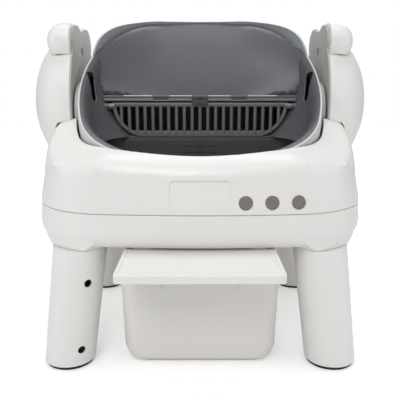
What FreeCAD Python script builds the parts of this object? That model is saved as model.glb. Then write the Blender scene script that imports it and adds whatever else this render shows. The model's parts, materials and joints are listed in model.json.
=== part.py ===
import FreeCAD, Part
import math
import os

os.makedirs("parts", exist_ok=True)

V = FreeCAD.Vector

# All sizes are in millimetres. X runs across the box, Y from the front to the back, Z up from the floor.

# Housing: a rounded tub in two mouldings, open on top, that the drum turns in.
housing_half_width = 288.0
housing_front = -202.0
housing_rear = 300.0
housing_front_arc = 1400.0
housing_side_arc = 700.0
housing_corner_arc = 140.0
housing_bottom = 203.0
seam_height = 258.0
shoulder_height = 392.0
housing_wall = 3.0
seam_groove_height = 1.0
seam_groove_depth = 1.3
crease_height = 325.0
lip_height = 346.0
corner_crease_x = 222.0
corner_crease_y = -145.0
corner_crease_height = 329.0
corner_rise_inward = 0.346
corner_rise_backward = 0.459

# Drum: a hollow ball that turns about a cross axis and is cut open by a sloping rim plane.
pivot_y = 57.0
pivot_z = 402.0
drum_radius = 227.0
drum_half_width = 225.0
drum_crown_arc = 420.0
drum_end_arc = 420.0
drum_corner_arc = 118.0
drum_wall = 3.0
drum_clearance = 4.0
drum_split_y = 90.0
rim_slope = 34.2
rim_above_pivot = 67.6
hub_flange_radius = 54.0
hub_gap = 2.5

# Inner bowl, liner, hood panel and the sieve that hangs in the bowl.
bowl_half_width = 207.0
bowl_half_length = 203.0
bowl_side_arc = 360.0
bowl_corner_arc = 140.0
bowl_full_depth = 166.0
bowl_floor_depth = 121.8
bowl_lip_flare = 9.0
bowl_lip_depth = 14.0
bowl_wall = 2.2
bowl_back_y = 88.0
liner_half_width = 179.0
liner_half_length = 165.0
liner_side_arc = 320.0
liner_front_arc = 300.0
liner_corner_arc = 120.0
liner_centre_y = 10.0
liner_back_y = 75.5
liner_rear_corner = 26.0
liner_top = 351.5
liner_wall = 2.5
liner_fit = 0.3
panel_wall = 3.0
panel_foot_y = 91.0
panel_foot_half_width = 190.0
panel_top_z = 600.0
panel_top_y = 99.0
panel_top_reach = 113.0
panel_top_half_width = 228.0
sieve_front = 78.0
sieve_thickness = 5.0
sieve_gap = 1.5
sieve_half_width = 172.0
sieve_bottom = 351.0
sieve_corner = 66.0
sieve_border = 6.5
sieve_top = 418.0
sieve_axis_z = 411.0
sieve_pin_radius = 2.5
sieve_pin_clearance = 0.09
knuckle_radius = 6.0
knuckle_length = 11.0
boss_length = 5.0
slots_each_side = 11
slot_pitch = 15.5
slot_width = 9.8
slot_top = 410.0
bar_bottom = 421.0
bar_top = 432.0
bar_front = 80.0
bar_slot_centre = 77.0
bar_slot_length = 30.0
latch_half_width = 15.0
latch_thickness = 3.0
grip_slot_y = 50.0
grip_slot_z = 449.0
grip_slot_length = 56.0
grip_slot_width = 24.0
grip_slot_lean = 10.0

# Arms that carry the drum at both sides.
arm_centre_y = 112.0
arm_centre_z = 416.0
arm_reach = 93.0
arm_half_length = 116.0
arm_half_height = 139.0
arm_wall = 3.0
plate_inner = 233.0
plate_thickness = 3.5
plate_bottom = 290.0
lobe_half_length = 41.0
lobe_half_height = 33.0
lobe_ys = (72.0, 156.0)
lobe_z = 529.5
ear_half_length = 49.0
ear_half_height = 33.0
ear_ys = (63.0, 165.0)
ear_z = 531.0
ear_reach = 46.0
ear_corner = 32.0
ear_rounding = 30.0
ear_wall = 2.6
window_radius = 8.5
window_y = 105.0
window_z = 515.0

# Drive: shaft, bush, gear pair and gearmotor inside the right arm.
shaft_radius = 16.0
shaft_end = 254.0
bush_wall = 5.0
bush_flange = 2.0
running_clearance = 0.05
seat_gap = 0.1
gear_module = 2.5
gear_teeth = 40
pinion_teeth = 12
gear_face = 10.0
gear_start = 240.0
gear_addendum = 1.9
gear_dedendum = 2.9
pinion_addendum = 2.3
pinion_dedendum = 2.5
gear_backlash = 0.6
pinion_direction = 28.0
motor_radius = 14.0
gearbox_radius = 18.5

# Legs, feet, step and waste bin.
leg_top_x = 197.0
leg_foot_x = 218.0
leg_front_y = -140.0
leg_rear_y = 175.0
leg_splay_y = 19.0
leg_top_radius = 44.0
leg_foot_radius = 41.0
leg_top = 196.4
leg_wall = 3.5
leg_hole_radius = 6.5
leg_hole_heights = (32.0, 142.5)
collar_radius = 45.0
collar_bottom = 197.0
collar_rise = 20.0
collar_flare = 18.0
collar_wall = 3.5
foot_height = 6.0
foot_radius = 38.5
bolt_radius = 4.0
step_half_width = 119.0
step_front = -300.0
step_back = -90.0
step_top = 200.0
step_thickness = 12.0
step_corner = 8.0
bin_half_width = 130.0
bin_front = -185.0
bin_length = 345.0
bin_height = 158.0
bin_wall = 2.6
bin_corner = 28.0
bin_rib_x = 62.0
bin_rib_length = 17.0
bin_draft = 5.0
chute_half_width = 105.0
chute_half_length = 88.0
chute_bottom = 162.5
chute_wall = 3.0

# Controls on the front.
recess_half_width = 46.4
recess_half_height = 18.3
recess_z = 291.7
recess_depth = 1.2
button_z = 277.0
button_xs = (69.5, 110.0, 151.0)
button_radius = 10.2
button_travel = 2.0
button_proud = 1.4
button_gap = 0.35
stem_end = 11.0
switch_gap = 0.3
board_set_back = 15.5
board_thickness = 1.6
board_half_length = 63.0
board_pillar_reach = 57.0
socket_x = -60.0
socket_z = 226.0
socket_bore = 5.6
socket_half_side = 9.0
socket_depth = 18.0

housing_centre_y = (housing_front + housing_rear) / 2.0
housing_half_length = (housing_rear - housing_front) / 2.0
rim_angle = math.radians(rim_slope)
rim_foot_y = pivot_y - rim_above_pivot * math.sin(rim_angle)
rim_foot_z = pivot_z + rim_above_pivot * math.cos(rim_angle)
centre_distance = gear_module * (gear_teeth + pinion_teeth) / 2.0
far = 800.0


def save(node, shape):
    shape.exportStep("parts/" + node + ".step")
    print(node, len(shape.Solids), round(shape.Volume / 1000.0, 1), "cm3", shape.isValid())


def box(x0, x1, y0, y1, z0, z1):
    return Part.makeBox(x1 - x0, y1 - y0, z1 - z0, V(x0, y0, z0))


def cylinder_x(radius, x0, x1, y, z):
    return Part.makeCylinder(radius, x1 - x0, V(x0, y, z), V(1, 0, 0))


def mirrored(shape):
    return shape.mirror(V(0, 0, 0), V(1, 0, 0))


def group(shapes):
    return Part.makeCompound(shapes)


def oval_corner(half_a, half_b, arc_a, arc_b, corner):
    # The corner circle touches the arc that crosses the b axis and the arc that crosses the a axis from inside.
    centre_b = half_b - arc_b
    centre_a = half_a - arc_a
    r0 = arc_b - corner
    r1 = arc_a - corner
    gap = math.hypot(centre_a, centre_b)
    along = (r0 * r0 - r1 * r1 + gap * gap) / (2.0 * gap)
    across = math.sqrt(r0 * r0 - along * along)
    ua = centre_a / gap
    ub = -centre_b / gap
    ca = ua * along + ub * across
    cb = centre_b + ub * along - ua * across
    if ca < 0 or cb < 0:
        ca = ua * along - ub * across
        cb = centre_b + ub * along + ua * across
    touch_b = (ca * arc_b / r0, centre_b + (cb - centre_b) * arc_b / r0)
    touch_a = (centre_a + (ca - centre_a) * arc_a / r1, cb * arc_a / r1)
    lean = math.hypot(ca - (touch_a[0] + touch_b[0]) / 2.0, cb - (touch_a[1] + touch_b[1]) / 2.0)
    da = ((touch_a[0] + touch_b[0]) / 2.0 - ca) / lean
    db = ((touch_a[1] + touch_b[1]) / 2.0 - cb) / lean
    return touch_a, (ca + da * corner, cb + db * corner), touch_b


def oval_wire(half_x, half_y, arc_x, arc_y, corner, centre_y, z):
    side, middle, front = oval_corner(half_x, half_y, arc_x, arc_y, corner)

    def at(sx, sy, p):
        return V(sx * p[0], centre_y + sy * p[1], z)

    edges = []
    for sx, sy in ((1, 1), (-1, 1), (-1, -1), (1, -1)):
        first, last = (side, front) if sx * sy > 0 else (front, side)
        edges.append(Part.Arc(at(sx, sy, first), at(sx, sy, middle), at(sx, sy, last)).toShape())
        if sx * sy > 0:
            crown = V(0, centre_y + sy * half_y, z)
            edges.append(Part.Arc(at(sx, sy, front), crown, at(-sx, sy, front)).toShape())
        else:
            edges.append(Part.Arc(at(sx, sy, side), V(sx * half_x, centre_y, z), at(sx, -sy, side)).toShape())
    return Part.Wire(edges)


def rounded_rectangle(x0, x1, y0, y1, z, radius):
    flat = Part.makePlane(x1 - x0, y1 - y0, V(x0, y0, z))
    prism = flat.extrude(V(0, 0, 1))
    upright = [e for e in prism.Edges if abs(e.Vertexes[0].Z - e.Vertexes[-1].Z) > 0.5]
    prism = prism.makeFillet(radius, upright)
    base = [f for f in prism.Faces if f.BoundBox.ZMax < z + 0.01]
    return base[0].OuterWire


def rounded_prism(x0, x1, y0, y1, z0, z1, radius):
    return Part.Face(rounded_rectangle(x0, x1, y0, y1, z0, radius)).extrude(V(0, 0, z1 - z0))


def barrel_profile(grow):
    return oval_corner(drum_half_width + grow, drum_radius + grow, drum_end_arc + grow, drum_crown_arc + grow,
                       drum_corner_arc + grow)


def barrel_end(grow):
    arc = drum_end_arc + grow
    return drum_half_width + grow - arc + math.sqrt(arc ** 2 - hub_flange_radius ** 2)


def barrel(grow):
    side, middle, crown = barrel_profile(grow)
    end_x = barrel_end(grow)
    arc = drum_end_arc + grow
    half_rise = (side[1] + hub_flange_radius) / 2.0
    half_x = drum_half_width + grow - arc + math.sqrt(arc ** 2 - half_rise ** 2)

    def at(x, r):
        return V(x, pivot_y, pivot_z + r)

    edges = [Part.makeLine(at(end_x, 0), at(end_x, hub_flange_radius))]
    edges.append(Part.Arc(at(end_x, hub_flange_radius), at(half_x, half_rise), at(*side)).toShape())
    edges.append(Part.Arc(at(*side), at(*middle), at(*crown)).toShape())
    edges.append(Part.Arc(at(*crown), at(0, drum_radius + grow), at(-crown[0], crown[1])).toShape())
    edges.append(Part.Arc(at(-crown[0], crown[1]), at(-middle[0], middle[1]), at(-side[0], side[1])).toShape())
    edges.append(Part.Arc(at(-side[0], side[1]), at(-half_x, half_rise), at(-end_x, hub_flange_radius)).toShape())
    edges.append(Part.makeLine(at(-end_x, hub_flange_radius), at(-end_x, 0)))
    edges.append(Part.makeLine(at(-end_x, 0), at(end_x, 0)))
    face = Part.Face(Part.Wire(edges))
    return face.revolve(V(0, pivot_y, pivot_z), V(1, 0, 0), 360)


def turned_with_rim(shape):
    shape.rotate(V(0, 0, 0), V(1, 0, 0), rim_slope)
    shape.translate(V(0, pivot_y, pivot_z))
    return shape


def rim_slab(bottom, top):
    side = 700.0
    slab = Part.makeBox(side, side, top - bottom, V(-side / 2.0, -side / 2.0, rim_above_pivot + bottom))
    return turned_with_rim(slab)


def bowl_form(grow):
    depths = [0.0, 5.0, bowl_lip_depth, 40.0, 75.0, 102.0, bowl_floor_depth + grow]
    sections = []
    for depth in depths:
        reach = math.sqrt(1.0 - (depth / (bowl_full_depth + grow)) ** 2)
        flare = bowl_lip_flare * max(0.0, 1.0 - depth / bowl_lip_depth) ** 2
        half_x = (bowl_half_width + grow) * reach + flare
        half_y = (bowl_half_length + grow) * reach + flare
        arc = (bowl_side_arc + grow) * reach
        corner = (bowl_corner_arc + grow) * reach
        sections.append(oval_wire(half_x, half_y, arc, arc, corner, 0.0, rim_above_pivot - depth))
    return turned_with_rim(Part.makeLoft(sections, True, False))


housing_levels = (
    (housing_bottom, 15.0),
    (housing_bottom + 3.5, 8.0),
    (housing_bottom + 10.0, 3.0),
    (228.0, 0.0),
    (262.0, 2.0),
    (310.0, 10.0),
    (355.0, 14.0),
    (380.0, 22.0),
    (shoulder_height, 40.0),
)


def housing_form(inset):
    sections = []
    for z, draw_in in housing_levels:
        shift = inset * max(0.0, 1.0 - (z - housing_bottom) / 14.0)
        if z > 350.0:
            shift = -inset * (z - 350.0) / (shoulder_height - 350.0)
        pull = draw_in + inset
        sections.append(oval_wire(housing_half_width - pull, housing_half_length - pull, housing_side_arc - pull,
                                  housing_front_arc - pull, housing_corner_arc - pull, housing_centre_y, z + shift))
    return Part.makeLoft(sections, True, False)


def above_saddle(drop):
    edge = [
        V(0, -260, 284),
        V(0, -215, 311),
        V(0, -191, crease_height),
        V(0, -165, lip_height),
        V(0, -95, 363),
        V(0, -48, 384),
        V(0, 0, shoulder_height + 0.5),
        V(0, 60, shoulder_height + 4),
        V(0, 160, shoulder_height + 4),
        V(0, 215, 386),
        V(0, 262, 356),
        V(0, 300, 338),
        V(0, 340, 312),
    ]
    points = [V(0, p.y, p.z - drop) for p in edge]
    curve = Part.BSplineCurve()
    curve.interpolate(Points=points)
    high = 470.0
    front = points[0]
    back = points[-1]
    lines = [
        Part.makeLine(back, V(0, back.y, high)),
        Part.makeLine(V(0, back.y, high), V(0, front.y, high)),
        Part.makeLine(V(0, front.y, high), front),
    ]
    face = Part.Face(Part.Wire([curve.toShape()] + lines))
    face.translate(V(-far / 2.0, 0, 0))
    saddle = face.extrude(V(far, 0, 0))
    right = above_corner(drop)
    return saddle.fuse([right, mirrored(right)])


def above_corner(drop):
    # At each front corner the top slopes outward and down, as a plane through the corner's crease point.
    points = []
    for x, y in ((0.0, -far), (far, -far), (far, 300.0), (0.0, 300.0)):
        rise = corner_rise_inward * (corner_crease_x - x) + corner_rise_backward * (y - corner_crease_y)
        points.append(V(x, y, corner_crease_height + rise - drop))
    return Part.Face(Part.makePolygon(points + [points[0]])).extrude(V(0, 0, far))


def front_point(x, z):
    draw_in = 0.0
    for (z0, d0), (z1, d1) in zip(housing_levels, housing_levels[1:]):
        if z0 <= z <= z1:
            draw_in = d0 + (d1 - d0) * (z - z0) / (z1 - z0)
    arc = housing_front_arc - draw_in
    y = housing_front + draw_in + arc - math.sqrt(arc ** 2 - x ** 2)
    return y, math.degrees(math.asin(x / arc))


def facing_front(shape, x, z):
    y, yaw = front_point(x, z)
    shape.rotate(V(0, 0, 0), V(0, 0, 1), yaw)
    shape.translate(V(x, y, z))
    return shape


def leg_places():
    places = []
    for name, side, y, outward in (
        ("front_left", -1, leg_front_y, -1),
        ("front_right", 1, leg_front_y, -1),
        ("rear_right", 1, leg_rear_y, 1),
        ("rear_left", -1, leg_rear_y, 1),
    ):
        places.append((name, side * leg_top_x, y, side * leg_foot_x, y + outward * leg_splay_y))
    return places


def button_shape(radius, back, front):
    return Part.makeCylinder(radius, back + front, V(0, -front, 0), V(0, 1, 0))


def chute_prism(grow, z0, z1):
    x = chute_half_width + grow
    y = chute_half_length + grow
    return rounded_prism(-x, x, pivot_y - y, pivot_y + y, z0, z1, 24.0 + grow)


def make_housing():
    clear = barrel(drum_clearance)
    tub = barrel(drum_clearance + housing_wall)
    outer = housing_form(0.0).cut(above_saddle(0.0))
    seat = housing_form(-seat_gap).cut(above_saddle(-seat_gap))
    hollow = housing_form(housing_wall).cut(above_saddle(housing_wall)).cut(tub)
    shell = outer.cut(clear).cut(hollow)
    swing = cylinder_x(shaft_radius + bush_wall + 4.0, plate_inner - 6.0, shaft_end + 3.0, pivot_y, pivot_z)
    gear_tip = gear_module * gear_teeth / 2.0 + gear_addendum
    gear_room = cylinder_x(gear_tip + 3.0, gear_start - 2.0, gear_start + gear_face + 3.0, pivot_y, pivot_z)
    hub_room = cylinder_x(hub_flange_radius + 4.0, -plate_inner, plate_inner, pivot_y, pivot_z)
    slots = []
    for side in (1, -1):
        slot = plate_form(0.3)
        slots.append(slot if side > 0 else mirrored(slot))
    shell = shell.cut(slots + [swing, mirrored(swing), hub_room, gear_room])
    return seat, shell, tub, clear


def plate_form(grow):
    thickness = plate_thickness + 2.0 * grow
    ellipse = Part.Ellipse(V(0, 0, 0), arm_half_height + grow, arm_half_length + grow)
    body = Part.Face(Part.Wire([ellipse.toShape()]))
    body.rotate(V(0, 0, 0), V(0, 1, 0), -90)
    body.translate(V(0, arm_centre_y, arm_centre_z))
    body = body.extrude(V(thickness, 0, 0))
    lobes = []
    for y in lobe_ys:
        lobe = oval_face(lobe_half_length + grow, lobe_half_height + grow, y, lobe_z)
        lobes.append(lobe.extrude(V(thickness, 0, 0)))
    form = body.fuse(lobes).cut(box(-5, 5 + thickness, -far, far, -far, plate_bottom - grow)).removeSplitter()
    form.translate(V(plate_inner - grow, 0, 0))
    return form


def oval_face(half_length, half_height, y, z):
    ellipse = Part.Ellipse(V(0, 0, 0), half_length, half_height)
    face = Part.Face(Part.Wire([ellipse.toShape()]))
    face.rotate(V(0, 0, 0), V(0, 0, 1), 90)
    face.rotate(V(0, 0, 0), V(0, 1, 0), 90)
    face.translate(V(0, y, z))
    return face


def arm_form(inset):
    ball = Part.makeSphere(1.0)
    matrix = FreeCAD.Matrix()
    matrix.scale(arm_reach - inset, arm_half_length - inset, arm_half_height - inset)
    ball = ball.transformGeometry(matrix)
    ball.translate(V(plate_inner, arm_centre_y, arm_centre_z))
    return ball


def make_arm_cover(housing_seat):
    start = plate_inner + plate_thickness
    cover = arm_form(0.0).cut(arm_form(arm_wall))
    cover = cover.cut(box(0, start, -far, far, 0, far))
    return cover.cut(housing_seat)


def rounded_ear(y, inset):
    half_height = ear_half_height - inset
    half_length = ear_half_length - inset
    ear = rounded_prism(-half_height, half_height, -half_length, half_length, inset, ear_reach - inset,
                        ear_corner - inset)
    ear.rotate(V(0, 0, 0), V(0, 1, 0), 90)
    ear.translate(V(0, y, ear_z))
    end = [e for e in ear.Edges if e.BoundBox.XMin > ear_reach - inset - 0.01]
    return ear.makeFillet(ear_rounding - inset, end)


def make_ears():
    start = plate_inner + plate_thickness
    ears = []
    for y in ear_ys:
        outside = rounded_ear(y, 0.0)
        inside = rounded_ear(y, ear_wall)
        shell = outside.cut(inside)
        shell.translate(V(start, 0, 0))
        shell = shell.cut(arm_form(-seat_gap))
        ears.append(max(shell.Solids, key=lambda s: s.Volume))
    return group(ears)


def make_plate():
    plate = plate_form(0.0)
    hole = cylinder_x(shaft_radius + bush_wall, plate_inner - 1, plate_inner + 10, pivot_y, pivot_z)
    window = cylinder_x(window_radius, plate_inner - 1, plate_inner + 10, window_y, window_z)
    return plate.cut([hole, window])


def make_window():
    lens = cylinder_x(window_radius, plate_inner + 0.8, plate_inner + plate_thickness, window_y, window_z)
    rim = cylinder_x(window_radius + 3.0, plate_inner + plate_thickness, plate_inner + plate_thickness + 2.0,
                     window_y, window_z)
    return lens.fuse(rim)


def make_bush():
    start = plate_inner
    end = plate_inner + plate_thickness
    outer = cylinder_x(shaft_radius + bush_wall, start, end, pivot_y, pivot_z)
    flange = cylinder_x(shaft_radius + bush_wall + 3.0, end, end + bush_flange, pivot_y, pivot_z)
    bore = cylinder_x(shaft_radius + running_clearance, start - 1, end + 5, pivot_y, pivot_z)
    return outer.fuse(flange).cut(bore).removeSplitter()


def make_hub():
    start = barrel_end(0.0)
    end = plate_inner - hub_gap
    flange = cylinder_x(hub_flange_radius, start, end, pivot_y, pivot_z)
    rim = [e for e in flange.Edges if e.BoundBox.XMin > end - 0.01]
    flange = flange.makeFillet(2.0, rim)
    shaft = cylinder_x(shaft_radius, end - 1.0, shaft_end, pivot_y, pivot_z)
    return flange.fuse(shaft).removeSplitter()


def make_clip():
    outer = cylinder_x(shaft_radius + 4.0, 250.2, 252.4, pivot_y, pivot_z)
    return outer.cut(cylinder_x(shaft_radius, 249.0, 254.0, pivot_y, pivot_z))


def involute(angle):
    return math.tan(angle) - angle


def gear_wire(teeth, addendum, dedendum, phase, centre_y, centre_z, x):
    pitch = gear_module * teeth / 2.0
    base = pitch * math.cos(math.radians(20.0))
    tip = pitch + addendum
    root = pitch - dedendum
    half_pitch_angle = math.pi / (2.0 * teeth) - gear_backlash / (4.0 * pitch)
    at_pitch = involute(math.radians(20.0))
    radii = [root, max(root + 0.4, base), pitch, tip]
    if base > pitch - 0.2:
        radii = [root, base, tip]
    half_angles = []
    for radius in radii:
        pressure = math.acos(min(1.0, base / radius))
        half_angles.append(half_pitch_angle + at_pitch - involute(pressure))
    points = []
    for i in range(teeth):
        middle = math.radians(phase) + 2.0 * math.pi * i / teeth
        flank = list(zip(radii, half_angles))
        rising = [(radius, middle - half) for radius, half in flank]
        falling = [(radius, middle + half) for radius, half in reversed(flank)]
        for radius, turn in rising + falling:
            points.append(V(x, centre_y + radius * math.cos(turn), centre_z + radius * math.sin(turn)))
    return Part.makePolygon(points + [points[0]])


def pinion_centre():
    angle = math.radians(pinion_direction)
    return pivot_y + centre_distance * math.cos(angle), pivot_z + centre_distance * math.sin(angle)


def make_gear():
    phase = pinion_direction + 180.0 / gear_teeth
    wire = gear_wire(gear_teeth, gear_addendum, gear_dedendum, phase, pivot_y, pivot_z, gear_start)
    gear = Part.Face(wire).extrude(V(gear_face, 0, 0))
    gear = gear.cut(cylinder_x(shaft_radius, gear_start - 1, gear_start + gear_face + 1, pivot_y, pivot_z))
    for i in range(5):
        angle = math.radians(18.0 + 72.0 * i)
        y = pivot_y + 32.0 * math.cos(angle)
        z = pivot_z + 32.0 * math.sin(angle)
        gear = gear.cut(cylinder_x(8.0, gear_start - 1, gear_start + gear_face + 1, y, z))
    return gear


def make_pinion():
    y, z = pinion_centre()
    wire = gear_wire(pinion_teeth, pinion_addendum, pinion_dedendum, pinion_direction + 180.0, y, z, gear_start)
    pinion = Part.Face(wire).extrude(V(gear_face + 1.0, 0, 0))
    shaft = cylinder_x(3.0, gear_start + gear_face, 266.0, y, z)
    return pinion.fuse(shaft).removeSplitter()


def make_gearmotor():
    y, z = pinion_centre()
    gearbox = cylinder_x(gearbox_radius, 256.0, 277.0, y, z)
    motor = cylinder_x(motor_radius, 277.0, 300.0, y, z)
    cap = cylinder_x(5.0, 300.0, 303.0, y, z)
    shaft_hole = cylinder_x(3.0 + running_clearance, 255.0, 266.5, y, z)
    return gearbox.fuse([motor, cap]).cut(shaft_hole).removeSplitter()


def make_motor_bracket():
    y, z = pinion_centre()
    start = plate_inner + plate_thickness
    plate = rounded_prism(-36.0, 36.0, -20.0, 56.0, 0.0, 3.0, 8.0)
    plate.rotate(V(0, 0, 0), V(0, 1, 0), 90)
    plate.translate(V(253.0, y - 10.0, z + 6.0))
    hole = cylinder_x(9.0, 250.0, 260.0, y, z)
    posts = []
    for dy, dz in ((32.0, 22.0), (2.0, 40.0), (30.0, -22.0)):
        posts.append(cylinder_x(4.0, start, 253.0, y + dy, z + dz))
    return plate.cut(hole).fuse(posts)


def make_drum_shell():
    shell = barrel(0.0).cut(barrel(-drum_wall)).cut(rim_slab(0.0, 500.0))
    return shell.cut(box(-far, far, drum_split_y, far, -far, far))


def hood_prism():
    edge = [
        V(0, drum_split_y, 505),
        V(0, 91, 528),
        V(0, 99, 546),
        V(0, 120, 566),
        V(0, 146, 577),
        V(0, 172, 581),
        V(0, 205, 582),
    ]
    curve = Part.BSplineCurve()
    curve.interpolate(Points=edge)
    back = 340.0
    low = 100.0
    corners = [edge[-1], V(0, back, edge[-1].z), V(0, back, low), V(0, drum_split_y, low), edge[0]]
    lines = [Part.makeLine(a, b) for a, b in zip(corners, corners[1:])]
    face = Part.Face(Part.Wire([curve.toShape()] + lines))
    face.translate(V(-far / 2.0, 0, 0))
    return face.extrude(V(far, 0, 0))


def panel_front(push):
    def section(z, half_width, reach, y):
        left = V(-half_width - push, y, z)
        right = V(half_width + push, y, z)
        front_left = V(left.x, -300, z)
        front_right = V(right.x, -300, z)
        if reach < 20.0:
            back = Part.Arc(right, V(0, y + reach + push, z), left)
        else:
            back = Part.ArcOfEllipse(Part.Ellipse(V(0, y, z), half_width + push, reach + push), 0.0, math.pi)
        return Part.Wire([
            back.toShape(),
            Part.makeLine(left, front_left),
            Part.makeLine(front_left, front_right),
            Part.makeLine(front_right, right),
        ])

    low = section(bar_bottom, panel_foot_half_width, 3.0, panel_foot_y)
    high = section(panel_top_z, panel_top_half_width, panel_top_reach, panel_top_y)
    return Part.makeLoft([low, high], True, True)


def make_hood_panel():
    panel = panel_front(panel_wall).cut(panel_front(0.0))
    panel = panel.common(barrel(-drum_wall - seat_gap)).cut(rim_slab(0.0, 300.0))
    panel = panel.cut(box(-far, far, -far, bowl_back_y + seat_gap, 0, far))
    return max(panel.Solids, key=lambda s: s.Volume)


def make_hood_cover():
    cover = barrel(0.0).cut(barrel(-drum_wall)).common(hood_prism())
    ledge = rim_slab(-3.0, 0.0).common(barrel(-drum_wall))
    ledge = ledge.cut(box(-far, far, -far, drum_split_y, -far, far)).cut(panel_front(panel_wall + seat_gap))
    return cover.fuse(ledge).removeSplitter()


def liner_prism(inset, top):
    back = liner_back_y + liner_wall - inset
    outline = oval_wire(liner_half_width - inset, liner_half_length - inset, liner_side_arc - inset,
                        liner_front_arc - inset, liner_corner_arc - inset, liner_centre_y, 150.0)
    prism = Part.Face(outline).extrude(V(0, 0, top - 150.0)).cut(box(-far, far, back, far, 0, far))
    rear_edges = [e for e in prism.Edges
                  if abs(e.Vertexes[0].Z - e.Vertexes[-1].Z) > 1 and e.BoundBox.YMin > back - 0.1]
    return prism.makeFillet(liner_rear_corner - inset, rear_edges)


def make_liner():
    outside = liner_prism(0.0, 480.0).common(barrel(-drum_wall - 0.3))
    inside = liner_prism(liner_wall, 480.0).common(barrel(-drum_wall - 0.3 - liner_wall))
    tray = outside.cut(inside).cut(bowl_form(bowl_wall + seat_gap)).cut(rim_slab(-0.5, 300.0))
    return max(tray.Solids, key=lambda s: s.Volume)


def grip_slot(side):
    width = grip_slot_width
    half = grip_slot_length / 2.0
    slot = rounded_prism(-half, half, -width / 2.0, width / 2.0, 0, 120, width / 2.0 - 0.1)
    slot.rotate(V(0, 0, 0), V(0, 1, 0), 90)
    slot.rotate(V(0, 0, 0), V(1, 0, 0), -grip_slot_lean)
    slot.translate(V(150, grip_slot_y, grip_slot_z))
    return slot if side > 0 else mirrored(slot)


def make_bowl():
    cavity = bowl_form(0.0)
    bowl = bowl_form(bowl_wall).fuse(rim_slab(-2.5, 0.0)).common(barrel(-drum_wall - seat_gap))
    bowl = bowl.cut(rim_slab(0.0, 300.0))
    bowl = bowl.cut(cavity)
    front = panel_front(-seat_gap).fuse(box(-far, far, -far, bowl_back_y, 0, far))
    bowl = bowl.common(front).cut(liner_prism(-liner_fit, liner_top))
    bowl = max(bowl.Solids, key=lambda s: s.Volume)
    axis_y = sieve_front + sieve_thickness / 2.0
    inner_face = bowl_width_at_axis() - boss_length
    for side in (1, -1):
        boss = cylinder_x(knuckle_radius + 0.5, inner_face, inner_face + boss_length + 5.0, axis_y, sieve_axis_z)
        hole = cylinder_x(sieve_pin_radius + sieve_pin_clearance, inner_face - 1, inner_face + boss_length + 3.0,
                          axis_y, sieve_axis_z)
        if side < 0:
            boss = mirrored(boss)
            hole = mirrored(hole)
        bowl = bowl.fuse(boss).cut(hole)
        bowl = bowl.cut(grip_slot(side))
    return bowl


def bowl_width_at_axis():
    y = sieve_front + sieve_thickness / 2.0 - rim_foot_y
    z = sieve_axis_z - rim_foot_z
    depth = y * math.sin(rim_angle) - z * math.cos(rim_angle)
    return bowl_half_width * math.sqrt(1.0 - (depth / bowl_full_depth) ** 2) - 1.0


def sieve_outline(inset, front, back, top):
    # A letter D on its side: a straight top edge above two large rounded lower corners.
    half = sieve_half_width - inset
    corner = sieve_corner - inset
    bottom = sieve_bottom + inset
    slab = rounded_prism(-half, half, bottom, sieve_top + 2.0 * corner, 0, back - front, corner)
    slab.rotate(V(0, 0, 0), V(1, 0, 0), 90)
    slab.translate(V(0, back, 0))
    return slab.common(box(-far, far, -far, far, 200, top))


def make_sieve():
    back = sieve_front + sieve_thickness
    plate = sieve_outline(0.0, sieve_front, back, sieve_top).common(bowl_form(-sieve_gap))
    opening = sieve_outline(sieve_border, sieve_front - 5.0, back + 5.0, slot_top)
    opening = opening.common(bowl_form(-sieve_gap - sieve_border))
    slots = []
    for side in (1, -1):
        for i in range(slots_each_side):
            x = side * slot_pitch * (i + 0.5)
            slots.append(box(x - slot_width / 2.0, x + slot_width / 2.0, sieve_front - 3, back + 3, 200, slot_top))
    plate = plate.cut(opening.common(group(slots)))
    axis_y = (sieve_front + back) / 2.0
    boss_face = bowl_width_at_axis() - boss_length
    knuckle_end = boss_face - 0.5
    for side in (1, -1):
        room = box(knuckle_end, far, sieve_front - 5, back + 5, sieve_axis_z - knuckle_radius - 1.5, far)
        knuckle = cylinder_x(knuckle_radius, knuckle_end - knuckle_length, knuckle_end, axis_y, sieve_axis_z)
        pin = cylinder_x(sieve_pin_radius, knuckle_end - 1.0, boss_face + boss_length + 2.5, axis_y, sieve_axis_z)
        if side < 0:
            room = mirrored(room)
            knuckle = mirrored(knuckle)
            pin = mirrored(pin)
        plate = plate.cut(room).fuse([knuckle, pin])
    rail = box(-knuckle_end + knuckle_length, knuckle_end - knuckle_length, sieve_front - 2.0, sieve_front,
               slot_top + 2.0, sieve_top - 1.0)
    return plate.fuse(rail).removeSplitter()


def make_hinge_bar():
    bar = box(-far, far, bar_front, 110, bar_bottom, bar_top)
    groove = box(-far, far, bar_front - 1, bar_front + 1.5, bar_bottom + 4.0, bar_top - 3.0)
    bar = bar.cut(groove).common(panel_front(-seat_gap)).common(bowl_form(-0.3))
    for side in (1, -1):
        x = side * bar_slot_centre
        bar = bar.cut(box(x - bar_slot_length / 2.0, x + bar_slot_length / 2.0, bar_front - 5, bar_front + 7,
                          bar_bottom + 2.5, bar_bottom + 8.0))
    room = box(-latch_half_width - 0.5, latch_half_width + 0.5, bar_front - 5, bar_front + 4.0, 300, far)
    return bar.cut(room)


def make_latch():
    top = bar_top - 2.0
    tab = box(-latch_half_width, latch_half_width, bar_front - latch_thickness, bar_front + 0.4,
              sieve_top + 0.6, top)
    lip = box(-latch_half_width, latch_half_width, sieve_front - 6.0, bar_front,
              sieve_top - 4.0, sieve_top + 3.0)
    lip = lip.cut(box(-far, far, sieve_front - 2.4, far, 0, sieve_top + 0.6))
    slot = box(-4.5, 4.5, 60, bar_front + 0.1, top - 6.5, top - 3.5)
    pin = cylinder_x(1.6, -latch_half_width, latch_half_width, bar_front + 1.5, top - 2.5)
    return tab.fuse([lip, pin]).cut(slot).removeSplitter()


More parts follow.
